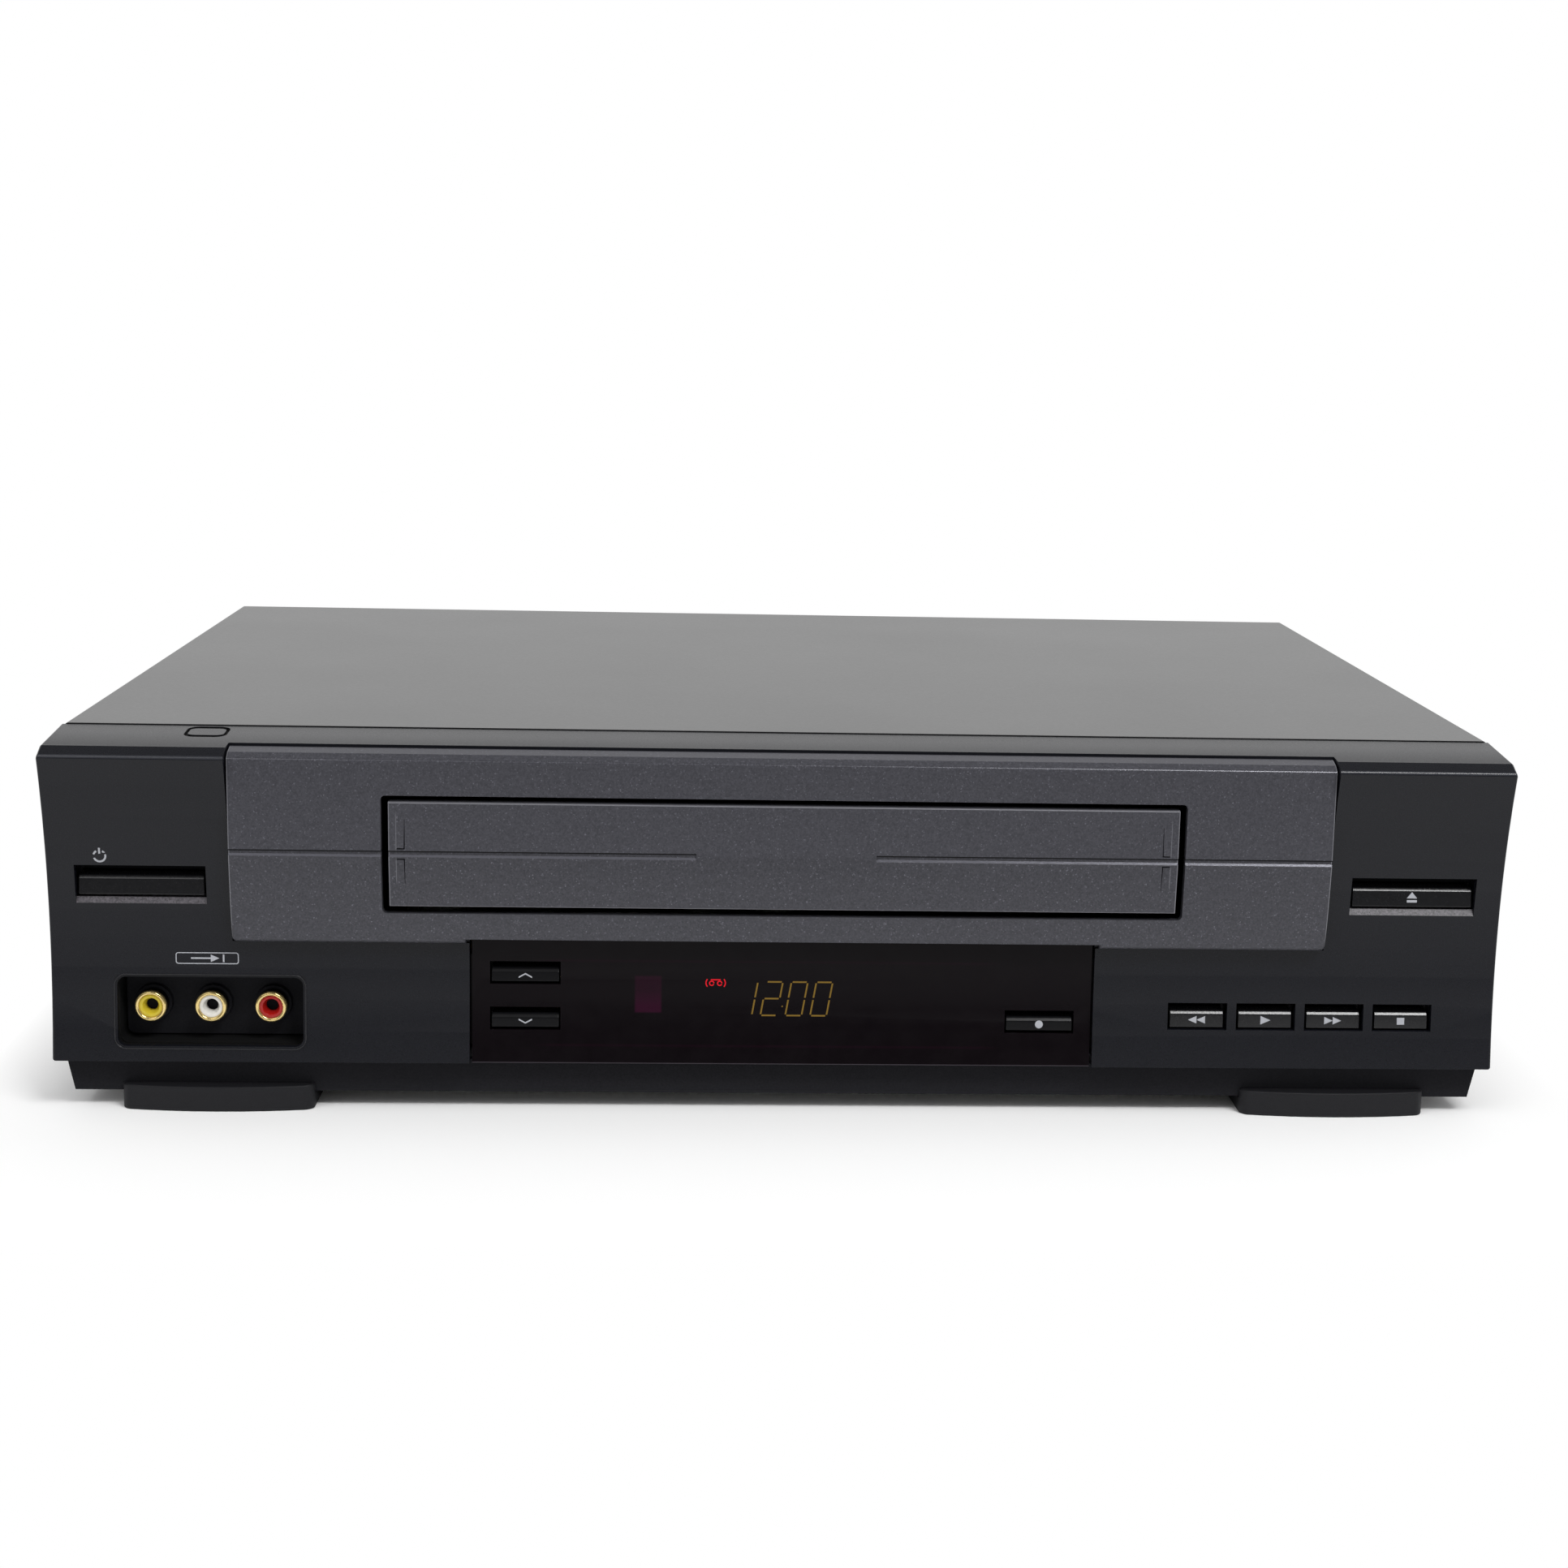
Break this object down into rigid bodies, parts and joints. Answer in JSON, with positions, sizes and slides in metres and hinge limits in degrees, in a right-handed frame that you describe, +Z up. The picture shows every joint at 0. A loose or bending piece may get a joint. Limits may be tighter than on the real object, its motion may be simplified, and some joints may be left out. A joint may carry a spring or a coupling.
{
  "type": "video cassette recorder",
  "caption": "Front-loading video cassette recorder with a hinged cassette door, display window, press keys, front input sockets, feet, and a working tape deck and loading carriage inside.",
  "frame": {"origin": "middle of the footprint of the bounding box, on the floor plane under the feet", "axes": "+X to the right seen from the front, +Y to the back (the bezel faces -Y), +Z up"},
  "size_m": [0.38, 0.289, 0.0995],
  "materials": {
    "bezel_plastic": "satin charcoal moulding",
    "panel_plastic": "satin grey with a fine metallic sparkle",
    "cover_paint": "dark grey fine-textured paint on steel",
    "black_plastic": "satin black moulding",
    "key_plastic": "semi-gloss black keys",
    "smoked_window": "polished dark red-black acrylic",
    "foot_rubber": "matt black rubber",
    "zinc_steel": "zinc-plated sheet",
    "bright_aluminium": "turned, fine polished",
    "natural_plastic": "natural acetal",
    "board_laminate": "brown paper laminate",
    "display_glass": "grey-green glass",
    "gold_plate": "gold-flashed shell",
    "yellow_insert": "yellow moulding",
    "white_insert": "white moulding",
    "red_insert": "red moulding",
    "copper_coil": "wound and taped coil on a ferrite core"
  },
  "bodies": {
    "case": {"top_cover": "cover_paint", "base_frame": "black_plastic", "bottom_plate": "zinc_steel", "rear_panel": "cover_paint", "front_bezel": "bezel_plastic", "center_panel": "panel_plastic", "display_window": "smoked_window", "front_foot_left": "black_plastic", "front_foot_right": "black_plastic", "rear_foot_left": "foot_rubber", "rear_foot_right": "foot_rubber", "front_board": "board_laminate", "display_tube": "display_glass", "front_jack_block": "black_plastic", "video_in_shell": "gold_plate", "video_in_insert": "yellow_insert", "audio_left_in_shell": "gold_plate", "audio_left_in_insert": "white_insert", "audio_right_in_shell": "gold_plate", "audio_right_in_insert": "red_insert", "main_board": "board_laminate", "power_board": "board_laminate", "transformer": "copper_coil", "main_capacitor": "black_plastic", "heat_sink": "bright_aluminium", "tuner_box": "zinc_steel", "rear_jack_block": "black_plastic", "cord_bush": "black_plastic", "deck_chassis": "zinc_steel", "reel_belt": "foot_rubber", "capstan_motor": "zinc_steel", "lower_drum": "bright_aluminium", "loading_motor": "zinc_steel", "erase_head": "bright_aluminium", "audio_head": "bright_aluminium"},
    "cassette_door": {"cassette_door": "panel_plastic"},
    "power_button": {"power_button": "key_plastic"},
    "eject_button": {"eject_button": "key_plastic"},
    "rew_button": {"rew_button": "key_plastic"},
    "play_button": {"play_button": "key_plastic"},
    "ff_button": {"ff_button": "key_plastic"},
    "stop_button": {"stop_button": "key_plastic"},
    "channel_up_button": {"channel_up_button": "key_plastic"},
    "channel_down_button": {"channel_down_button": "key_plastic"},
    "rec_button": {"rec_button": "key_plastic"},
    "lift_slider": {"lift_slider": "zinc_steel"},
    "cassette_holder": {"cassette_holder": "zinc_steel"},
    "supply_reel": {"supply_reel": "black_plastic"},
    "takeup_reel": {"takeup_reel": "black_plastic"},
    "capstan_rotor": {"capstan_rotor": "bright_aluminium"},
    "clutch_pulley": {"clutch_pulley": "natural_plastic"},
    "idler_arm": {"idler_arm": "zinc_steel"},
    "reel_idler": {"reel_idler": "natural_plastic"},
    "upper_drum": {"upper_drum": "bright_aluminium"},
    "pinch_arm": {"pinch_arm": "zinc_steel"},
    "pinch_roller": {"pinch_roller": "foot_rubber"},
    "cam_gear": {"cam_gear": "natural_plastic"},
    "supply_guide": {"supply_guide": "bright_aluminium"},
    "takeup_guide": {"takeup_guide": "bright_aluminium"},
    "tension_arm": {"tension_arm": "zinc_steel"}
  },
  "joints": [
    {"name": "door_swing", "type": "hinge", "parent": "case", "child": "cassette_door", "pos_m": [0, -0.1367, 0.0892], "axis": [1, 0, 0], "range_deg": [0, 88], "stiffness_Nm_per_rad": 0.008, "springref_deg": -11.46},
    {"name": "power_press", "type": "slide", "parent": "case", "child": "power_button", "axis": [0, 1, 0], "range_m": [0, 0.0015], "stiffness_N_per_m": 400},
    {"name": "eject_press", "type": "slide", "parent": "case", "child": "eject_button", "axis": [0, 1, 0], "range_m": [0, 0.0015], "stiffness_N_per_m": 400},
    {"name": "rew_press", "type": "slide", "parent": "case", "child": "rew_button", "axis": [0, 1, 0], "range_m": [0, 0.0015], "stiffness_N_per_m": 400},
    {"name": "play_press", "type": "slide", "parent": "case", "child": "play_button", "axis": [0, 1, 0], "range_m": [0, 0.0015], "stiffness_N_per_m": 400},
    {"name": "ff_press", "type": "slide", "parent": "case", "child": "ff_button", "axis": [0, 1, 0], "range_m": [0, 0.0015], "stiffness_N_per_m": 400},
    {"name": "stop_press", "type": "slide", "parent": "case", "child": "stop_button", "axis": [0, 1, 0], "range_m": [0, 0.0015], "stiffness_N_per_m": 400},
    {"name": "channel_up_press", "type": "slide", "parent": "case", "child": "channel_up_button", "axis": [0, 1, 0], "range_m": [0, 0.0015], "stiffness_N_per_m": 400},
    {"name": "channel_down_press", "type": "slide", "parent": "case", "child": "channel_down_button", "axis": [0, 1, 0], "range_m": [0, 0.0015], "stiffness_N_per_m": 400},
    {"name": "rec_press", "type": "slide", "parent": "case", "child": "rec_button", "axis": [0, 1, 0], "range_m": [0, 0.0015], "stiffness_N_per_m": 400},
    {"name": "carriage_in", "type": "slide", "parent": "case", "child": "lift_slider", "axis": [0, 1, 0], "range_m": [0, 0.06]},
    {"name": "carriage_down", "type": "slide", "parent": "lift_slider", "child": "cassette_holder", "axis": [0, 0, -1], "range_m": [0, 0.022]},
    {"name": "supply_reel_spin", "type": "hinge", "parent": "case", "child": "supply_reel", "pos_m": [-0.04625, -0.0055, 0.03], "axis": [0, 0, 1], "continuous": true},
    {"name": "takeup_reel_spin", "type": "hinge", "parent": "case", "child": "takeup_reel", "pos_m": [0.04625, -0.0055, 0.03], "axis": [0, 0, 1], "continuous": true},
    {"name": "capstan_spin", "type": "hinge", "parent": "case", "child": "capstan_rotor", "pos_m": [0.058, 0.0535, 0.03], "axis": [0, 0, 1], "continuous": true},
    {"name": "clutch_spin", "type": "hinge", "parent": "case", "child": "clutch_pulley", "pos_m": [0, -0.0225, 0.03], "axis": [0, 0, 1], "continuous": true},
    {"name": "idler_swing", "type": "hinge", "parent": "case", "child": "idler_arm", "pos_m": [0, -0.0225, 0.03], "axis": [0, 0, 1], "range_deg": [-30, 30]},
    {"name": "idler_spin", "type": "hinge", "parent": "idler_arm", "child": "reel_idler", "pos_m": [0, 0.0018, 0.03], "axis": [0, 0, 1], "continuous": true},
    {"name": "drum_spin", "type": "hinge", "parent": "case", "child": "upper_drum", "pos_m": [0, 0.0805, 0.0276], "axis": [0, 0.1045, 0.9945], "continuous": true},
    {"name": "pinch_swing", "type": "hinge", "parent": "case", "child": "pinch_arm", "pos_m": [0.084, 0.0595, 0.03], "axis": [0, 0, 1], "range_deg": [0, 31], "stiffness_Nm_per_rad": 0.01},
    {"name": "pinch_roller_spin", "type": "hinge", "parent": "pinch_arm", "child": "pinch_roller", "pos_m": [0.068, 0.0675, 0.034], "axis": [0, 0, 1], "continuous": true},
    {"name": "cam_turn", "type": "hinge", "parent": "case", "child": "cam_gear", "pos_m": [-0.08, 0.0725, 0.03], "axis": [0, 0, 1], "range_deg": [0, 180]},
    {"name": "supply_guide_slide", "type": "slide", "parent": "case", "child": "supply_guide", "axis": [-0.1821, 0.9833, 0], "range_m": [0, 0.0549]},
    {"name": "takeup_guide_slide", "type": "slide", "parent": "case", "child": "takeup_guide", "axis": [0.1821, 0.9833, 0], "range_m": [0, 0.0549]},
    {"name": "tension_swing", "type": "hinge", "parent": "case", "child": "tension_arm", "pos_m": [-0.074, 0.0275, 0.03], "axis": [0, 0, 1], "range_deg": [0, 25], "stiffness_Nm_per_rad": 0.01}
  ],
  "couplings": [
    {"joint": "clutch_spin", "follows": "capstan_spin", "ratio": 0.61667},
    {"joint": "idler_spin", "follows": "capstan_spin", "ratio": -0.44048},
    {"joint": "supply_guide_slide", "follows": "cam_turn", "m_per_rad": 0.01747},
    {"joint": "takeup_guide_slide", "follows": "cam_turn", "m_per_rad": 0.01747}
  ]
}
